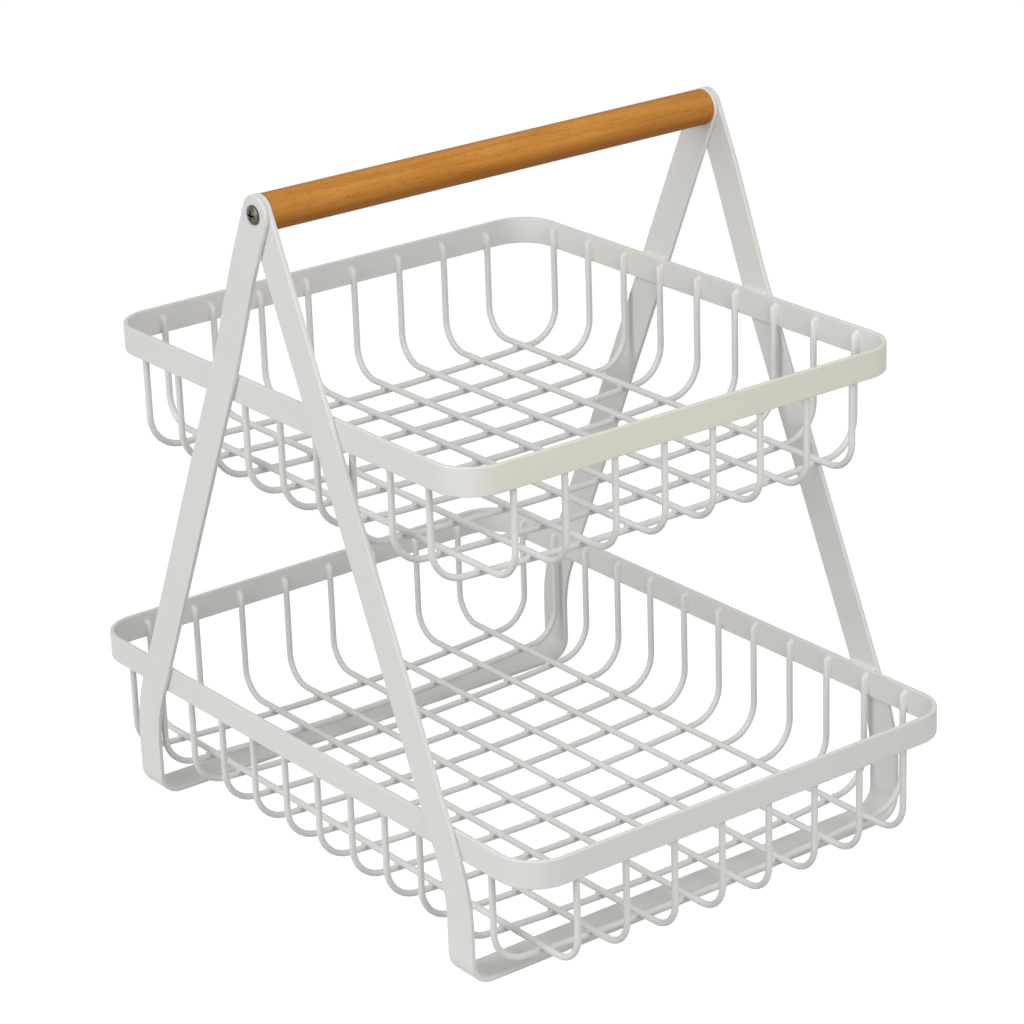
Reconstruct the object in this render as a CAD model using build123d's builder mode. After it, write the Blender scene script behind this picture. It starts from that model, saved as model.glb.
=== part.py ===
from build123d import *
import math
import os

os.makedirs("parts", exist_ok=True)

# Tiered wire basket. Two open wire baskets are welded, one above the other, between two bent
# strip frames that meet at the top like a letter A, with a round wooden handle between them.
# X runs along the handle, Y from front to back and Z up. The origin lies on the floor below
# the middle of the handle.

# Flat strip of the two frames
strip_width = 16.0
strip_thickness = 2.0
strip_edge_radius = 0.5
axis_height = 292.1
foot_reach = 114.0
knee_height = 38.7
knee_radius = 66.0
foot_bend_radius = 8.0
lean_radius = 200.0
lean_start_gap = 6.0
lean_end_gap = 6.0

# Flat strip of the two rims
rim_width = 226.0
rim_height = 12.0
rim_thickness = 2.0
rim_corner_radius = 18.0
rim_edge_radius = 0.5
upper_rim_depth = 251.0
upper_rim_drop = 86.2
lower_rim_overhang = 43.5
lower_rim_base = 53.4

# Wires of the two baskets. The basket's drop is measured from the rim's lower edge and the end
# drops from its upper edge. A dish is how much lower still a floor lies along the middle. A gap
# is the stretch from a wire's bend to the first wire that crosses it.
wire_diameter = 2.8
basket_drop = 39.9
upper_dish = 3.5
lower_dish = 4.6
lengthwise_count = 8
lengthwise_bend_radius = 13.0
lengthwise_end_drop = 5.2
lengthwise_gap = 7.2
crosswise_bend_radius = 15.5
crosswise_end_drop = 3.0
crosswise_shift = 1.5
upper_crosswise_count = 9
upper_crosswise_gap = 7.1
lower_crosswise_count = 12
lower_crosswise_gap = 8.3

# Wooden handle
handle_diameter = 15.4
handle_edge_radius = 0.6
handle_end_clearance = 0.2
bore_bottom_gap = 1.0

# Screws at the handle's ends
shank_diameter = 4.8
shank_bite = 18.0
point_length = 4.0
head_diameter = 8.0
head_side_height = 0.6
head_height = 1.6
recess_span = 4.6
recess_width = 1.1
recess_depth = 1.1
recess_taper = 12
hinge_clearance = 0.08
bore_clearance = 0.02
head_clearance = 0.15

# Weld beads between legs and rims
weld_length = 15.0
weld_size = 1.3

# Places that follow from the sizes above
half_rim = rim_width / 2
upper_rim_base = axis_height - upper_rim_drop
lower_rim_depth = 2 * (foot_reach + lower_rim_overhang)
outer_leg_face = half_rim + 2 * strip_thickness
handle_axis = Axis((0, 0, axis_height), (1, 0, 0))
wire_radius = wire_diameter / 2
wire_inset = rim_thickness + wire_radius


def save(piece, name):
    """Label a finished piece and write it under its own name."""
    piece.part.label = name
    export_step(piece.part, f"parts/{name}.step")


def leg_reach(level):
    """How far a leg's middle stands from the handle's plane at a height above the knee."""
    return foot_reach * (axis_height - level) / (axis_height - knee_height)


# Back frame: one strip from the left leg's round top, down, along the floor and up again. Both
# of its legs lie against the rims. At the top its left leg lies outside the other frame's leg,
# so below their crossing it leans in by one thickness to reach the upper rim.
leg_middle = half_rim + strip_thickness / 2
outer_top_middle = leg_middle + strip_thickness
leg_slope = math.atan2(foot_reach, axis_height - knee_height)
crossing_drop = strip_width / 2 / math.sin(leg_slope)
lean_start = axis_height - crossing_drop - lean_start_gap
lean_end = upper_rim_base + rim_height + lean_end_gap
bar_middle = strip_thickness / 2
foot_middle_radius = foot_bend_radius + strip_thickness / 2

with BuildPart() as back_frame:
    with BuildLine() as strip_run:
        FilletPolyline(
            (-outer_top_middle, 0, axis_height),
            (-outer_top_middle, leg_reach(lean_start), lean_start),
            (-leg_middle, leg_reach(lean_end), lean_end),
            (-leg_middle, foot_reach, knee_height),
            (-leg_middle, foot_reach, bar_middle),
            (leg_middle, foot_reach, bar_middle),
            (leg_middle, foot_reach, knee_height),
            (leg_middle, 0, axis_height),
            radius=[
                lean_radius,
                lean_radius,
                knee_radius,
                foot_middle_radius,
                foot_middle_radius,
                knee_radius,
            ],
        )
    leg_end = Plane(strip_run.line @ 0, x_dir=(1, 0, 0), z_dir=strip_run.line % 0)
    with BuildSketch(leg_end):
        RectangleRounded(strip_thickness, strip_width, strip_edge_radius)
    sweep(path=strip_run.line)
    for middle in (-outer_top_middle, leg_middle):
        with BuildSketch(Plane((middle, 0, axis_height), x_dir=(1, 0, 0), z_dir=leg_end.z_dir)):
            RectangleRounded(strip_thickness, strip_width, strip_edge_radius)
            split(bisect_by=Plane.XZ)
        revolve(axis=handle_axis, revolution_arc=180)
    with BuildSketch(Plane.YZ.offset(-outer_leg_face)):
        with Locations((0, axis_height)):
            Circle(shank_diameter / 2 + hinge_clearance)
    extrude(amount=2 * outer_leg_face, mode=Mode.SUBTRACT)
save(back_frame, "back_frame")

# Front frame: the same strip, turned half round.
with BuildPart() as front_frame:
    add(back_frame.part, rotation=(0, 0, 180))
save(front_frame, "front_frame")


def make_rim(name, depth, base):
    """A band of flat strip on edge round the mouth of a basket."""
    inner_width = rim_width - 2 * rim_thickness
    inner_depth = depth - 2 * rim_thickness
    with BuildPart() as rim:
        with BuildSketch(Plane.XY.offset(base)):
            RectangleRounded(rim_width, depth, rim_corner_radius)
            RectangleRounded(
                inner_width, inner_depth, rim_corner_radius - rim_thickness, mode=Mode.SUBTRACT
            )
        extrude(amount=rim_height)
        levels = rim.edges().group_by(Axis.Z)
        fillet(levels[0] + levels[-1], rim_edge_radius)
    save(rim, name)


def make_wire(name, plane, half_run, run_level, end_level, bend_radius, dish=0):
    """One hoop of round wire: down from the rim, across the basket and up again."""
    ends = [(-half_run, end_level), (half_run, end_level)]
    corners = [(-half_run, run_level), (half_run, run_level)]
    with BuildPart() as wire:
        with BuildLine(plane) as run:
            Line(ends[0], corners[0])
            if dish:
                ThreePointArc(corners[0], (0, run_level - dish), corners[1])
            else:
                Line(corners)
            Line(corners[1], ends[1])
            fillet(run.vertices(), bend_radius)
        with BuildSketch(Plane(run.line @ 0, z_dir=run.line % 0)):
            Circle(wire_radius)
        sweep(path=run.line)
    save(wire, name)


def wire_places(outer_size, crossed_bend_radius, gap, count):
    """Evenly spaced places across a basket, clear of the rim's corners and the crossed bends."""
    reach = outer_size / 2 - max(rim_corner_radius, wire_inset + crossed_bend_radius) - gap
    return [reach * (2 * i / (count - 1) - 1) for i in range(count)]


def make_basket(tier, depth, base, dish, crosswise_gap, crosswise_count):
    """The wires of one basket. The lengthwise ones lie on the crosswise ones."""
    top = base + rim_height
    crosswise_half_run = half_rim - wire_inset
    crosswise_level = base - basket_drop - wire_radius
    dish_radius = (crosswise_half_run**2 + dish**2) / (2 * dish)
    dish_centre = crosswise_level - dish + dish_radius
    lengthwise_places = wire_places(
        rim_width, crosswise_bend_radius, lengthwise_gap, lengthwise_count
    )
    crosswise_places = wire_places(
        depth, lengthwise_bend_radius, crosswise_gap, crosswise_count
    )
    for i, x in enumerate(lengthwise_places, 1):
        make_wire(
            f"{tier}_lengthwise_wire_{i}",
            Plane.YZ.offset(x),
            depth / 2 - wire_inset,
            dish_centre - math.sqrt((dish_radius - wire_diameter) ** 2 - x**2),
            top - lengthwise_end_drop,
            lengthwise_bend_radius,
        )
    for i, y in enumerate(crosswise_places, 1):
        make_wire(
            f"{tier}_crosswise_wire_{i}",
            Plane.XZ.offset(-y - crosswise_shift),
            crosswise_half_run,
            crosswise_level,
            top - crosswise_end_drop,
            crosswise_bend_radius,
            dish,
        )


def make_welds(name, base):
    """Quarter-round beads in the corners between the four legs and both edges of a rim."""
    with BuildPart() as welds:
        for level, upward in ((base, -1), (base + rim_height, 1)):
            for side in (-1, 1):
                for end in (-1, 1):
                    corner = (side * half_rim, end * leg_reach(level), level)
                    with BuildSketch(Plane(corner, x_dir=(0, 1, 0), z_dir=(0, 0, side))):
                        SlotOverall(weld_length, 2 * weld_size)
                        split(bisect_by=Plane.ZX)
                    revolve(axis=Axis(corner, (0, side * upward, 0)), revolution_arc=90)
    save(welds, name)


# Upper basket
make_rim("upper_rim", upper_rim_depth, upper_rim_base)
make_basket(
    "upper",
    upper_rim_depth,
    upper_rim_base,
    upper_dish,
    upper_crosswise_gap,
    upper_crosswise_count,
)
make_welds("upper_rim_welds", upper_rim_base)

# Lower basket
make_rim("lower_rim", lower_rim_depth, lower_rim_base)
make_basket(
    "lower",
    lower_rim_depth,
    lower_rim_base,
    lower_dish,
    lower_crosswise_gap,
    lower_crosswise_count,
)
make_welds("lower_rim_welds", lower_rim_base)

# Handle: a dowel with eased edges and a bore in each end for its screw.
handle_half_length = half_rim - handle_end_clearance
shank_reach = outer_leg_face + head_clearance - half_rim + shank_bite
bore_depth = shank_reach + point_length - (outer_leg_face + head_clearance - handle_half_length)

with BuildPart() as handle:
    with BuildSketch(Plane.YZ.offset(-handle_half_length)):
        with Locations((0, axis_height)):
            Circle(handle_diameter / 2)
    extrude(amount=2 * handle_half_length)
    fillet(handle.edges().filter_by(GeomType.CIRCLE), handle_edge_radius)
    for end in handle.faces().filter_by(Axis.X):
        with Locations(end):
            Hole(shank_diameter / 2 + bore_clearance, bore_depth + bore_bottom_gap)
save(handle, "handle")


def make_screw(name, side):
    """A pan-head screw with a cross recess. Its head seats on the outermost leg of one side."""
    seat = side * (outer_leg_face + head_clearance)
    dome_height = head_height - head_side_height
    dome_radius = ((head_diameter / 2) ** 2 + dome_height**2) / (2 * dome_height)
    with BuildPart() as screw:
        profile_plane = Plane((seat, 0, axis_height), x_dir=(side, 0, 0), z_dir=(0, -side, 0))
        with BuildSketch(profile_plane):
            with BuildLine():
                Polyline(
                    (head_height, 0),
                    (-shank_reach - point_length, 0),
                    (-shank_reach, shank_diameter / 2),
                    (0, shank_diameter / 2),
                    (0, head_diameter / 2),
                    (head_side_height, head_diameter / 2),
                )
                RadiusArc((head_side_height, head_diameter / 2), (head_height, 0), dome_radius)
            make_face()
        revolve(axis=handle_axis)
        head_top = (seat + side * head_height, 0, axis_height)
        with BuildSketch(Plane(head_top, x_dir=(0, 1, 0), z_dir=(side, 0, 0))):
            Rectangle(recess_span, recess_width)
            Rectangle(recess_width, recess_span)
        extrude(amount=-recess_depth, taper=recess_taper, mode=Mode.SUBTRACT)
    save(screw, name)


make_screw("left_screw", -1)
make_screw("right_screw", 1)
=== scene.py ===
import math

import bpy
from mathutils import Matrix, Vector

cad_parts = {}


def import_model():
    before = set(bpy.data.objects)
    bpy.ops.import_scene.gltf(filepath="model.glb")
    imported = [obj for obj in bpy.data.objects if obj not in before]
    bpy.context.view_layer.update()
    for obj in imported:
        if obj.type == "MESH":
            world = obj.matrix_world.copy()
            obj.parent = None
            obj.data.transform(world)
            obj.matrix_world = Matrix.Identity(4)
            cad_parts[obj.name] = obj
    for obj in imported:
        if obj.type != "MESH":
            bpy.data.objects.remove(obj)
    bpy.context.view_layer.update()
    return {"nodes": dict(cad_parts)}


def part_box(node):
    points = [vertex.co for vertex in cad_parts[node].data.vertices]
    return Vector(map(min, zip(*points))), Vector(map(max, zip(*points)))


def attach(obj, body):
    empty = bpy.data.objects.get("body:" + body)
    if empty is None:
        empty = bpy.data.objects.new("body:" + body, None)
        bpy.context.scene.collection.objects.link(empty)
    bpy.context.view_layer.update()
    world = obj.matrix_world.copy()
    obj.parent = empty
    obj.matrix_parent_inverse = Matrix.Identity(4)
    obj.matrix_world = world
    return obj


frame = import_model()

# Camera, fitted to the photograph. Angles are in degrees, lengths in metres and the sensor's
# width in millimetres. Azimuth zero looks along +Y.
CAMERA_AZIMUTH = -36.96
CAMERA_ELEVATION = 21.56
CAMERA_ROLL = -1.965
CAMERA_DISTANCE = 1.5001
CAMERA_TARGET = Vector((0.0011, -0.0039, 0.1371))
CAMERA_REACH = 50
SENSOR_WIDTH = 36.0
FOCAL_PIXELS = 3539.3
IMAGE_PIXELS = 1024

# Light. The surround has one level. A lamp has its azimuth and its elevation in degrees and its
# distance in metres, all from the point that it faces, then its size in metres and its watts.
WORLD_LEVEL = 0.45
LEFT_LAMP = (175.0, 21.0, 1.7, 1.2, 15.2)
FRONT_LAMP = (262.0, 32.0, 0.9, 0.6, 3.8)
LAMP_TARGET = Vector((0, 0, 0.15))

# Floor, in metres. Its white and its glow each go from one value to another over a stretch of
# distance from the origin.
FLOOR_HALF_SIZE = 8.0
FLOOR_REACH = (0.15, 0.6)
FLOOR_WHITE = (0.5, 0.2)
FLOOR_GLOW = (0.76, 0.9)

# Colours, linear
COAT_WARM = (0.722, 0.708, 0.675, 1)
COAT_COOL = (0.728, 0.722, 0.705, 1)
# Painted warm light on the upper rim's front face
COAT_PAINTED_WARM_LIGHT = (0.73, 0.712, 0.615, 1)
WOOD_LIGHT = (0.73, 0.362, 0.092, 1)
WOOD_MIDDLE = (0.62, 0.262, 0.044, 1)
WOOD_DARK = (0.3, 0.088, 0.006, 1)
STEEL_LIGHT = (0.17, 0.15, 0.128, 1)
STEEL_DARK = (0.055, 0.046, 0.037, 1)

# Painted warm light on the upper rim's front face, given as a colour of the coat: where it
# starts and where it is full, in metres from the rim's left side and from its front face.
WARM_LIGHT_FROM_LEFT = (0.001, 0.017)
WARM_LIGHT_FROM_FRONT = (0.0095, 0.002)

# Darker tones of the wood: where each starts and where it is full, in metres from the handle's
# middle, and its full share. The first is a band that is partly heartwood and partly painted
# shade, on the dowel's lower front side and on its upper back side; the pale sides face forwards
# and up, and backwards and down. The second darkens the wood towards the ends. The growth rings'
# centre is also given from the handle's middle. It is below and in front.
LENGTHWISE = (1, 0, 0)
PALE_SIDE = (0, -math.sqrt(0.5), math.sqrt(0.5))
# A band that is partly heartwood and partly painted shade, on the lower front and upper back
HEARTWOOD_AND_PAINTED_SHADE = (0.0071, 0.0026, 0.68)
# The wood gets darker towards the ends
DARKER_ENDS = (0.045, 0.113, 0.16)
RING_CENTRE = Vector((0, -0.021, -0.0371))

# Powder coat over the wires' ends, in metres: its thickness, its depth into the rim, its spread
# at each side, its start above the rim's lower edge, the run-in from there to its full size, and
# the slope above the wire's end
COAT_SKIN = 0.0001
COAT_SUNK = 0.0003
END_SPREAD = 0.00016
END_START = 0.0006
END_RUN_IN = 0.0012
END_SLOPE = 0.0018

# Form of that coat: how square its shoulders are, the share by which the slope narrows, how
# round the slope falls, and the steps of its outline, its run-in and its slope
END_SHOULDER = 2.4
SLOPE_NARROWING_SHARE = 0.25
SLOPE_FALL = 0.8
OUTLINE_STEPS = 16
RUN_IN_STEPS = 4
SLOPE_STEPS = 6

# Powder coat round the crossings of the wires: its reach and its height in metres, the share by
# which it reaches further into the corners, its steps from bottom to top and its sides
CROSSING_REACH = 0.00185
CROSSING_HEIGHT = 0.0008
CROSSING_CORNER_SHARE = 0.16
CROSSING_STEPS = 8
CROSSING_SIDES = 16

# Sockets of a node that mixes two colours. They go by number, as their names aren't unique.
MIX_SHARE = 0
MIX_FIRST = 6
MIX_SECOND = 7
MIX_RESULT = 2


class Shader:
    """A node material with its principled shader, and short ways to add nodes to it."""

    def __init__(self, name):
        self.material = bpy.data.materials.new(name)
        self.material.use_nodes = True
        self.tree = self.material.node_tree
        self.surface = self.tree.nodes["Principled BSDF"]

    def set(self, **values):
        """Feed sockets of the principled shader, written with _ for a space."""
        for name, value in values.items():
            self.feed(self.surface.inputs[name.replace("_", " ")], value)

    def add(self, kind, inputs=(), **settings):
        """Add a node. A value in inputs is a number, a colour or another node's socket, and
        settings are the node's own attributes."""
        node = self.tree.nodes.new(kind)
        for name, value in settings.items():
            setattr(node, name, value)
        for key, value in dict(inputs).items():
            self.feed(node.inputs[key], value)
        return node

    def feed(self, socket, value):
        """Link a socket to another node's socket, or give it a value of its own."""
        if isinstance(value, bpy.types.NodeSocket):
            self.tree.links.new(value, socket)
        else:
            socket.default_value = value

    def place(self, scale=(1, 1, 1), shift=(0, 0, 0)):
        """The piece's own coordinates in metres, stretched and then moved."""
        source = self.add("ShaderNodeTexCoord").outputs["Object"]
        inputs = {"Vector": source, "Location": shift, "Scale": scale}
        return self.add("ShaderNodeMapping", inputs).outputs["Vector"]

    def noise(self, where, scale, detail, roughness=0.5):
        """A cloudy pattern from 0 to 1. Its largest grains are about 1 / scale metres wide."""
        inputs = {"Vector": where, "Scale": scale, "Detail": detail, "Roughness": roughness}
        return self.add("ShaderNodeTexNoise", inputs).outputs["Fac"]

    def distance(self, where, direction):
        """How far a place is from the origin along a direction, forwards or backwards."""
        inputs = {0: where, 1: direction}
        along = self.add("ShaderNodeVectorMath", inputs, operation="DOT_PRODUCT")
        away = self.add("ShaderNodeMath", {0: along.outputs["Value"]}, operation="ABSOLUTE")
        return away.outputs["Value"]

    def range(self, value, low, high, new_low, new_high):
        """Map low to new_low and high to new_high, and hold the result between these two."""
        inputs = {
            "Value": value,
            "From Min": low,
            "From Max": high,
            "To Min": new_low,
            "To Max": new_high,
        }
        return self.add("ShaderNodeMapRange", inputs).outputs["Result"]

    def blend(self, share, first, second):
        """Mix two colours. A share of 0 gives the first one and of 1 the second one."""
        inputs = {MIX_SHARE: share, MIX_FIRST: first, MIX_SECOND: second}
        node = self.add("ShaderNodeMix", data_type="RGBA")
        for place, value in inputs.items():
            self.feed(node.inputs[place], value)
        return node.outputs[MIX_RESULT]

    def bump(self, height, distance, strength, below=None):
        """A bumpy surface, on top of another one when below is given."""
        inputs = {"Height": height, "Distance": distance, "Strength": strength}
        if below is not None:
            inputs["Normal"] = below
        return self.add("ShaderNodeBump", inputs).outputs["Normal"]


def powder_coat(name, warm_light_at=None):
    """Off-white powder coat: faint patches of tone, and a fine orange peel in the surface.

    The argument after the name gives, for X and for Y, where painted warm light on the coat
    starts and where it is full.
    """
    coat = Shader(name)
    where = coat.place()
    patches = coat.range(coat.noise(where, scale=22, detail=4), 0.35, 0.65, 0, 1)
    colour = coat.blend(patches, COAT_WARM, COAT_COOL)
    # Painted warm light, blended in towards the front face and the left side
    if warm_light_at is not None:
        place = coat.add("ShaderNodeSeparateXYZ", {"Vector": where}).outputs
        along_x, along_y = (coat.range(place[axis], *warm_light_at[axis], 0, 1) for axis in "XY")
        share = coat.add("ShaderNodeMath", {0: along_x, 1: along_y}, operation="MULTIPLY")
        colour = coat.blend(share.outputs["Value"], colour, COAT_PAINTED_WARM_LIGHT)
    sheen = coat.noise(where, scale=120, detail=3)
    waves = coat.noise(where, scale=160, detail=2)
    grain = coat.noise(where, scale=900, detail=2)
    waves = coat.bump(waves, distance=0.0002, strength=0.12)
    coat.set(
        Base_Color=colour,
        Roughness=coat.range(sheen, 0.3, 0.7, 0.4, 0.52),
        Normal=coat.bump(grain, distance=0.00006, strength=0.3, below=waves),
        Specular_IOR_Level=0.5,
    )
    return coat.material


def oiled_wood():
    """A turned dowel: growth rings cut lengthwise, a darker band through its middle that is
    partly heartwood and partly painted shade, wood that darkens towards the ends, fine fibres
    and short dark flecks."""
    wood = Shader("oiled_wood")
    low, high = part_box("handle")
    middle = (low + high) / 2
    from_middle = wood.place(shift=-middle)
    rings = wood.add(
        "ShaderNodeTexWave",
        {
            "Vector": wood.place(scale=(0.06, 1, 1), shift=-(middle + RING_CENTRE)),
            "Scale": 95,
            "Distortion": 5,
            "Detail": 3,
            "Detail Scale": 1.4,
        },
        wave_type="RINGS",
        rings_direction="X",
    ).outputs["Fac"]

    # Noises, stretched along the grain and moved apart so that no two of them agree
    fibres = wood.noise(wood.place((0.02, 1, 1)), scale=1500, detail=4, roughness=0.6)
    flecks = wood.noise(wood.place((0.16, 1, 1), (0.4, 0, 0)), scale=1500, detail=1)
    patches = wood.noise(wood.place((0.3, 1, 1), (0.2, 0, 0)), scale=90, detail=2)
    streaks = wood.noise(wood.place((0.05, 1, 1), (0.7, 0, 0)), scale=330, detail=2)

    # Each tone has its pattern, the values where it starts and is full, and its full share.
    colour = WOOD_MIDDLE
    for pattern, start, full, share, tone in (
        (rings, 0.1, 0.9, 0.2, WOOD_LIGHT),
        (patches, 0.35, 0.65, 0.4, WOOD_LIGHT),
        (streaks, 0.4, 0.7, 0.3, WOOD_DARK),
        # Partly heartwood, partly painted shade along the lower front and the upper back
        (wood.distance(from_middle, PALE_SIDE), *HEARTWOOD_AND_PAINTED_SHADE, WOOD_DARK),
        # Darker towards the ends
        (wood.distance(from_middle, LENGTHWISE), *DARKER_ENDS, WOOD_DARK),
        (fibres, 0.45, 0.7, 0.2, WOOD_DARK),
        (flecks, 0.62, 0.68, 0.4, WOOD_DARK),
    ):
        colour = wood.blend(wood.range(pattern, start, full, 0, share), colour, tone)
    wood.set(
        Base_Color=colour,
        Roughness=wood.range(fibres, 0.3, 0.7, 0.5, 0.62),
        Normal=wood.bump(fibres, distance=0.0001, strength=0.3),
        Specular_IOR_Level=0.12,
    )
    return wood.material


def plated_steel():
    """A dull plated screw, mottled and scratched."""
    steel = Shader("plated_steel")
    mottle = steel.noise(steel.place(), scale=700, detail=4)
    scratches = steel.noise(steel.place((1, 1, 0.08)), scale=5000, detail=2)
    steel.set(
        Base_Color=steel.blend(steel.range(mottle, 0.35, 0.65, 0, 1), STEEL_DARK, STEEL_LIGHT),
        Roughness=steel.range(mottle, 0.3, 0.7, 0.25, 0.45),
        Normal=steel.bump(scratches, distance=0.00003, strength=0.25),
        Metallic=1.0,
    )
    return steel.material


def paint(material, names):
    """Give CAD nodes a material in place of the one they were packed with."""
    for name in names:
        node = frame["nodes"][name]
        node.data.materials.clear()
        node.data.materials.append(material)


class Shape:
    """A mesh that is put together from closed shells."""

    def __init__(self, name):
        self.name = name
        self.points = []
        self.faces = []

    def loft(self, rings):
        """Join rings of points, each going the same way round, and close both ends."""
        start = len(self.points)
        size = len(rings[0])
        for ring in rings:
            self.points += ring
        for i in range(len(rings) - 1):
            for j in range(size):
                low, high = start + i * size, start + (i + 1) * size
                k = (j + 1) % size
                self.faces.append((low + j, low + k, high + k, high + j))
        last = start + (len(rings) - 1) * size
        self.faces.append(tuple(range(start + size - 1, start - 1, -1)))
        self.faces.append(tuple(range(last, last + size)))

    def place(self, body, slot, material):
        """Put the mesh in the scene as a piece that rides a body and has a material slot."""
        mesh = bpy.data.meshes.new(self.name)
        mesh.from_pydata(self.points, [], self.faces)
        mesh.polygons.foreach_set("use_smooth", [True] * len(mesh.polygons))
        mesh.materials.append(material)
        piece = bpy.data.objects.new(self.name, mesh)
        bpy.context.scene.collection.objects.link(piece)
        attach(piece, body)


def coat_section(half_width, height):
    """Outline of the coat over a wire that lies on a face, seen along the wire.

    A point is its place along the face and its height over it. The curve is half of a rounded
    oblong that just wraps the wire and fills the corners between the wire and the face.
    """
    points = [(half_width, -COAT_SUNK)]
    for i in range(OUTLINE_STEPS + 1):
        turn = math.pi * i / OUTLINE_STEPS
        across = abs(math.cos(turn)) ** (2 / END_SHOULDER)
        up = math.sin(turn) ** (2 / END_SHOULDER) if 0 < i < OUTLINE_STEPS else 0
        points.append((half_width * math.copysign(across, math.cos(turn)), height * up))
    return points + [(-half_width, -COAT_SUNK)]


def coat_end(shape, foot, inward, radius, rim_low, wire_top):
    """The coat over a wire's end, from the rim's lower edge to a soft slope above the end.

    foot is the wire's place on the rim's inner face, and inward points away from that face.
    """
    along = (-inward[1], inward[0])
    full = 2 * radius + COAT_SKIN
    stations = []
    for i in range(RUN_IN_STEPS + 1):
        level = rim_low + END_RUN_IN * i / RUN_IN_STEPS
        thin = 1 - i / RUN_IN_STEPS
        half_width = radius + END_SPREAD * (1 - 2 * thin)
        stations.append((level, half_width, full - COAT_SKIN * thin))
    for i in range(SLOPE_STEPS + 1):
        gone = i / SLOPE_STEPS
        level = wire_top + END_SLOPE * gone
        half_width = (radius + END_SPREAD) * (1 - SLOPE_NARROWING_SHARE * gone)
        stations.append((level, half_width, full * (1 - gone) ** SLOPE_FALL))
    rings = []
    for level, half_width, height in stations:
        ring = []
        for u, v in coat_section(half_width, height):
            ring.append((
                foot[0] + along[0] * u + inward[0] * v,
                foot[1] + along[1] * u + inward[1] * v,
                level,
            ))
        rings.append(ring)
    shape.loft(rings)


def coat_crossing(shape, x, y, z):
    """The coat that fills the corners round the point where two wires are welded."""
    rings = []
    for i in range(1, CROSSING_STEPS):
        tilt = math.pi * (i / CROSSING_STEPS - 0.5)
        ring = []
        for j in range(CROSSING_SIDES):
            turn = math.tau * j / CROSSING_SIDES
            corners = 1 - CROSSING_CORNER_SHARE * math.cos(4 * turn)
            reach = CROSSING_REACH * math.cos(tilt) * corners
            ring.append((
                x + reach * math.cos(turn),
                y + reach * math.sin(turn),
                z + CROSSING_HEIGHT * math.sin(tilt),
            ))
        rings.append(ring)
    shape.loft(rings)


def coat_welds(tier, material):
    """The pooled coat of one basket, placed by the boxes of its wires and its rim."""
    names = [name for name in frame["nodes"] if name.startswith(tier)]
    lengthwise = [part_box(name) for name in names if "lengthwise" in name]
    crosswise = [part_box(name) for name in names if "crosswise" in name]
    rim_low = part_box(f"{tier}_rim")[0][2] + END_START
    ends = Shape(f"{tier}_wire_end_coat")
    for low, high in lengthwise:
        x, radius = (low[0] + high[0]) / 2, (high[0] - low[0]) / 2
        coat_end(ends, (x, low[1]), (0, 1), radius, rim_low, high[2])
        coat_end(ends, (x, high[1]), (0, -1), radius, rim_low, high[2])
    for low, high in crosswise:
        y, radius = (low[1] + high[1]) / 2, (high[1] - low[1]) / 2
        coat_end(ends, (low[0], y), (1, 0), radius, rim_low, high[2])
        coat_end(ends, (high[0], y), (-1, 0), radius, rim_low, high[2])
    ends.place("basket_stand", "coated_steel", material)
    crossings = Shape(f"{tier}_crossing_coat")
    for long_low, long_high in lengthwise:
        for cross_low, cross_high in crosswise:
            coat_crossing(
                crossings,
                (long_low[0] + long_high[0]) / 2,
                (cross_low[1] + cross_high[1]) / 2,
                long_low[2],
            )
    crossings.place("basket_stand", "coated_steel", material)


def seen_rays(tree):
    """A socket that is 1 for camera, glossy and transmission rays and 0 for all others."""
    rays = tree.nodes.new("ShaderNodeLightPath").outputs
    total = rays["Is Camera Ray"]
    for name in ("Is Glossy Ray", "Is Transmission Ray"):
        joined = tree.nodes.new("ShaderNodeMath")
        tree.links.new(total, joined.inputs[0])
        tree.links.new(rays[name], joined.inputs[1])
        total = joined.outputs["Value"]
    return total


def floor():
    """A plain pale floor that stays white to the camera and keeps the object's shadow.

    Its paper reflects more and glows less under the object than further out.
    """
    half = FLOOR_HALF_SIZE
    corners = [(-half, -half, 0), (half, -half, 0), (half, half, 0), (-half, half, 0)]
    mesh = bpy.data.meshes.new("studio_floor")
    mesh.from_pydata(corners, [], [(0, 1, 2, 3)])
    ground = bpy.data.objects.new("studio_floor", mesh)
    bpy.context.scene.collection.objects.link(ground)
    paper = Shader("floor_paper")
    distance = paper.add("ShaderNodeVectorMath", {0: paper.place()}, operation="LENGTH")
    distance = distance.outputs["Value"]
    glow = paper.range(distance, *FLOOR_REACH, *FLOOR_GLOW)
    seen = seen_rays(paper.tree)
    seen_glow = paper.add("ShaderNodeMath", {0: seen, 1: glow}, operation="MULTIPLY")
    paper.set(
        Base_Color=paper.range(distance, *FLOOR_REACH, *FLOOR_WHITE),
        Roughness=0.9,
        Specular_IOR_Level=0.0,
        Emission_Color=(1, 1, 1, 1),
        Emission_Strength=seen_glow.outputs["Value"],
    )
    mesh.materials.append(paper.material)


def world():
    """An even pale surround that is white to the camera and in reflections."""
    scene_world = bpy.data.worlds.new("studio_world")
    bpy.context.scene.world = scene_world
    scene_world.use_nodes = True
    tree = scene_world.node_tree
    background = tree.nodes["Background"]
    background.inputs["Color"].default_value = (1, 1, 1, 1)
    level = tree.nodes.new("ShaderNodeMapRange")
    tree.links.new(seen_rays(tree), level.inputs["Value"])
    level.inputs["To Min"].default_value = WORLD_LEVEL
    level.inputs["To Max"].default_value = 1.0
    tree.links.new(level.outputs["Result"], background.inputs["Strength"])


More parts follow.
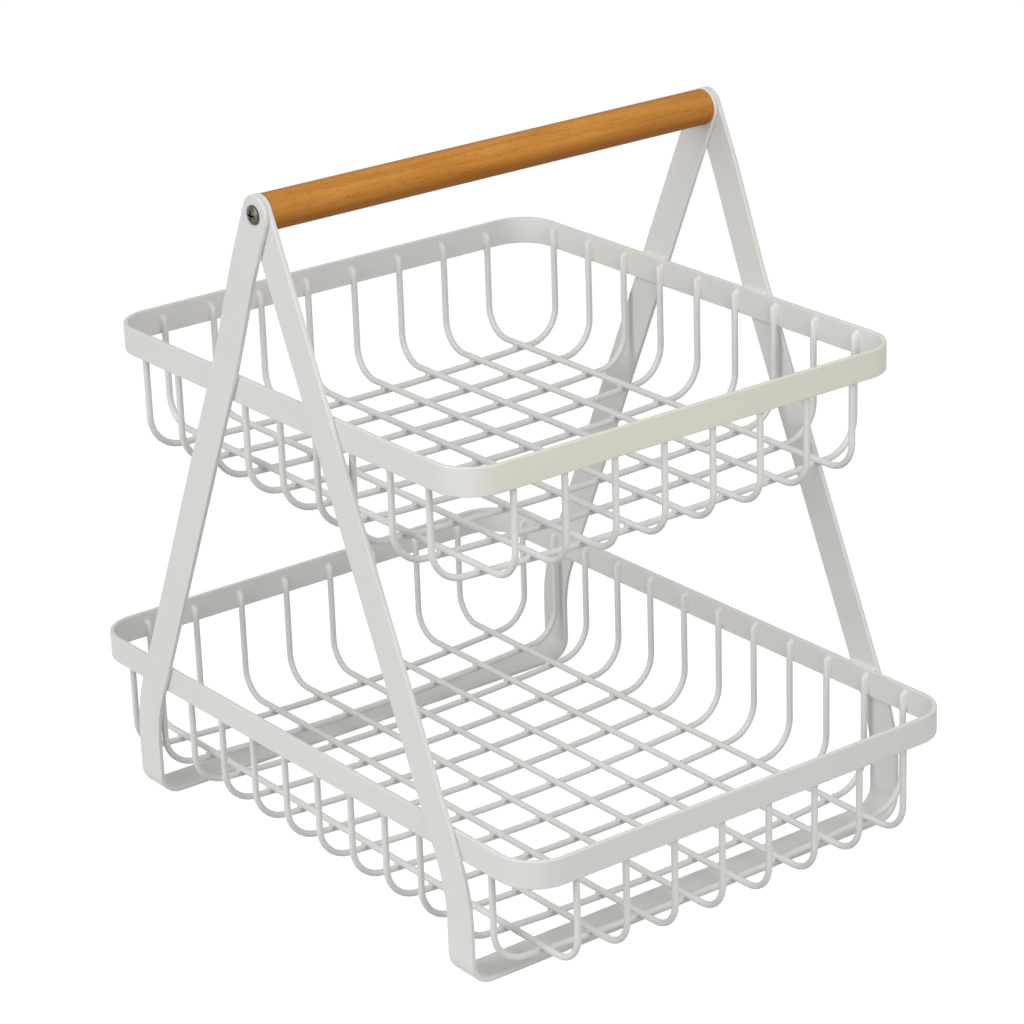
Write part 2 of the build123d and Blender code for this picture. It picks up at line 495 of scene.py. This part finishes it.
def soft_lamp(name, azimuth, elevation, distance, size, watts):
    """A square lamp that faces the basket, at an azimuth counted from +X towards +Y."""
    lamp = bpy.data.lights.new(name, "AREA")
    lamp.shape = "SQUARE"
    lamp.size = size
    lamp.energy = watts
    holder = bpy.data.objects.new(name, lamp)
    bpy.context.scene.collection.objects.link(holder)
    turn, lift = math.radians(azimuth), math.radians(elevation)
    direction = Vector((
        math.cos(turn) * math.cos(lift),
        math.sin(turn) * math.cos(lift),
        math.sin(lift),
    ))
    holder.location = LAMP_TARGET + direction * distance
    holder.rotation_euler = (-direction).to_track_quat("-Z", "Y").to_euler()


def camera():
    """The photograph's view, as a camera with no shift."""
    azimuth = math.radians(CAMERA_AZIMUTH)
    elevation = math.radians(CAMERA_ELEVATION)
    forward = Vector((
        -math.sin(azimuth) * math.cos(elevation),
        math.cos(azimuth) * math.cos(elevation),
        -math.sin(elevation),
    ))
    level_right = Vector((math.cos(azimuth), math.sin(azimuth), 0))
    roll = Matrix.Rotation(math.radians(-CAMERA_ROLL), 3, forward)
    right = roll @ level_right
    up = right.cross(forward)
    data = bpy.data.cameras.new("photo_camera")
    data.sensor_width = SENSOR_WIDTH
    data.lens = FOCAL_PIXELS / IMAGE_PIXELS * SENSOR_WIDTH
    data.clip_end = CAMERA_REACH
    holder = bpy.data.objects.new("photo_camera", data)
    bpy.context.scene.collection.objects.link(holder)
    turn = Matrix((right, up, -forward)).transposed().to_4x4()
    holder.matrix_world = Matrix.Translation(CAMERA_TARGET - forward * CAMERA_DISTANCE) @ turn
    bpy.context.scene.camera = holder


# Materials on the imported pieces
screws = ["left_screw", "right_screw"]
others = ["upper_rim", "handle", *screws]
coat = powder_coat("powder_coat")
paint(coat, [name for name in frame["nodes"] if name not in others])
rim_left, rim_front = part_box("upper_rim")[0][:2]
warm_light_at = {
    "X": [rim_left + reach for reach in WARM_LIGHT_FROM_LEFT],
    "Y": [rim_front + reach for reach in WARM_LIGHT_FROM_FRONT],
}
# The upper rim's coat carries painted warm light on its front face.
paint(powder_coat("coat_with_painted_warm_light", warm_light_at), ["upper_rim"])
paint(oiled_wood(), ["handle"])
paint(plated_steel(), screws)

# Coat round the welds
coat_welds("upper", coat)
coat_welds("lower", coat)

# Stage
floor()
world()
soft_lamp("left_lamp", *LEFT_LAMP)
soft_lamp("front_lamp", *FRONT_LAMP)
camera()
bpy.context.scene.view_settings.view_transform = "Standard"
